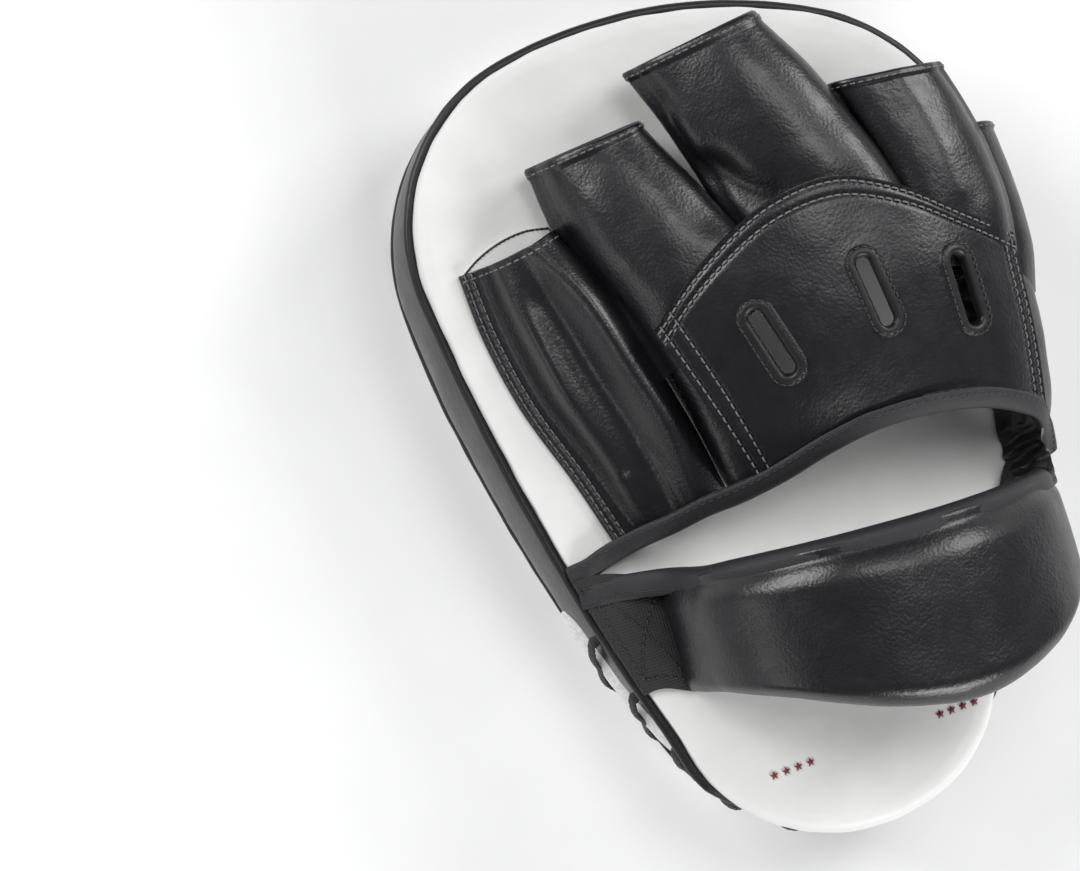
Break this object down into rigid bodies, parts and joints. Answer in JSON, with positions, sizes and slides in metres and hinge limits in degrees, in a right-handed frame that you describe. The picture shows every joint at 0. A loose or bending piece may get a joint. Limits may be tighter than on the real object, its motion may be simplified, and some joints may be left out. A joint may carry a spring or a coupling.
{
  "type": "focus mitt",
  "caption": "Right-hand boxing focus mitt: laced egg-shaped striking pad with an open-fingered leather glove and a padded wrist cuff that rocks on sewn tabs.",
  "frame": {"origin": "on the resting plane under the centre of the pad, which lies on its strike face", "axes": "+Z away from the resting plane through the pad to the glove, +Y from the wrist to the fingertips, -X towards the thumb"},
  "size_m": [0.18, 0.2594, 0.1112],
  "materials": {
    "white_leather": "smooth white face leather, satin",
    "black_leather": "grained black leather, semi-gloss",
    "black_lining": "matt black lining cloth",
    "black_piping": "rolled black piping, semi-gloss",
    "binding_tape": "folded black binding tape, satin",
    "webbing": "black woven nylon webbing",
    "lace_cord": "flat braided black lace",
    "white_wadding": "fibrous white wadding",
    "foam": "closed-cell foam, matt"
  },
  "bodies": {
    "mitt": {"strike_face": "white_leather", "strike_piping": "black_piping", "strike_foam": "foam", "core_foam": "foam", "back_foam": "foam", "side_gusset": "black_leather", "slot_lining": "white_wadding", "side_lace": "lace_cord", "lace_knots": "lace_cord", "back_piping": "black_piping", "back_face": "white_leather", "thumb_underlay": "white_leather", "thumb_sleeve": "black_leather", "index_side_panel": "black_leather", "knuckle_panel": "black_leather", "glove_side_wall": "black_leather", "glove_lining": "black_lining", "vent_rims": "black_leather", "hem_binding": "binding_tape", "index_sleeve": "black_leather", "middle_sleeve": "black_leather", "ring_sleeve": "black_leather", "little_sleeve": "black_leather", "tab_thumb_side": "webbing", "tab_little_side": "webbing"},
    "wrist_pad": {"wrist_pad_cover": "black_leather", "wrist_pad_foam": "foam", "wrist_pad_lining": "black_lining", "wrist_pad_binding": "binding_tape"}
  },
  "joints": [
    {"name": "wrist_pad_swing", "type": "hinge", "parent": "mitt", "child": "wrist_pad", "pos_m": [0.014, -0.0555, 0.0696], "axis": [1, 0, 0], "range_deg": [-20, 30], "stiffness_Nm_per_rad": 0.35}
  ]
}
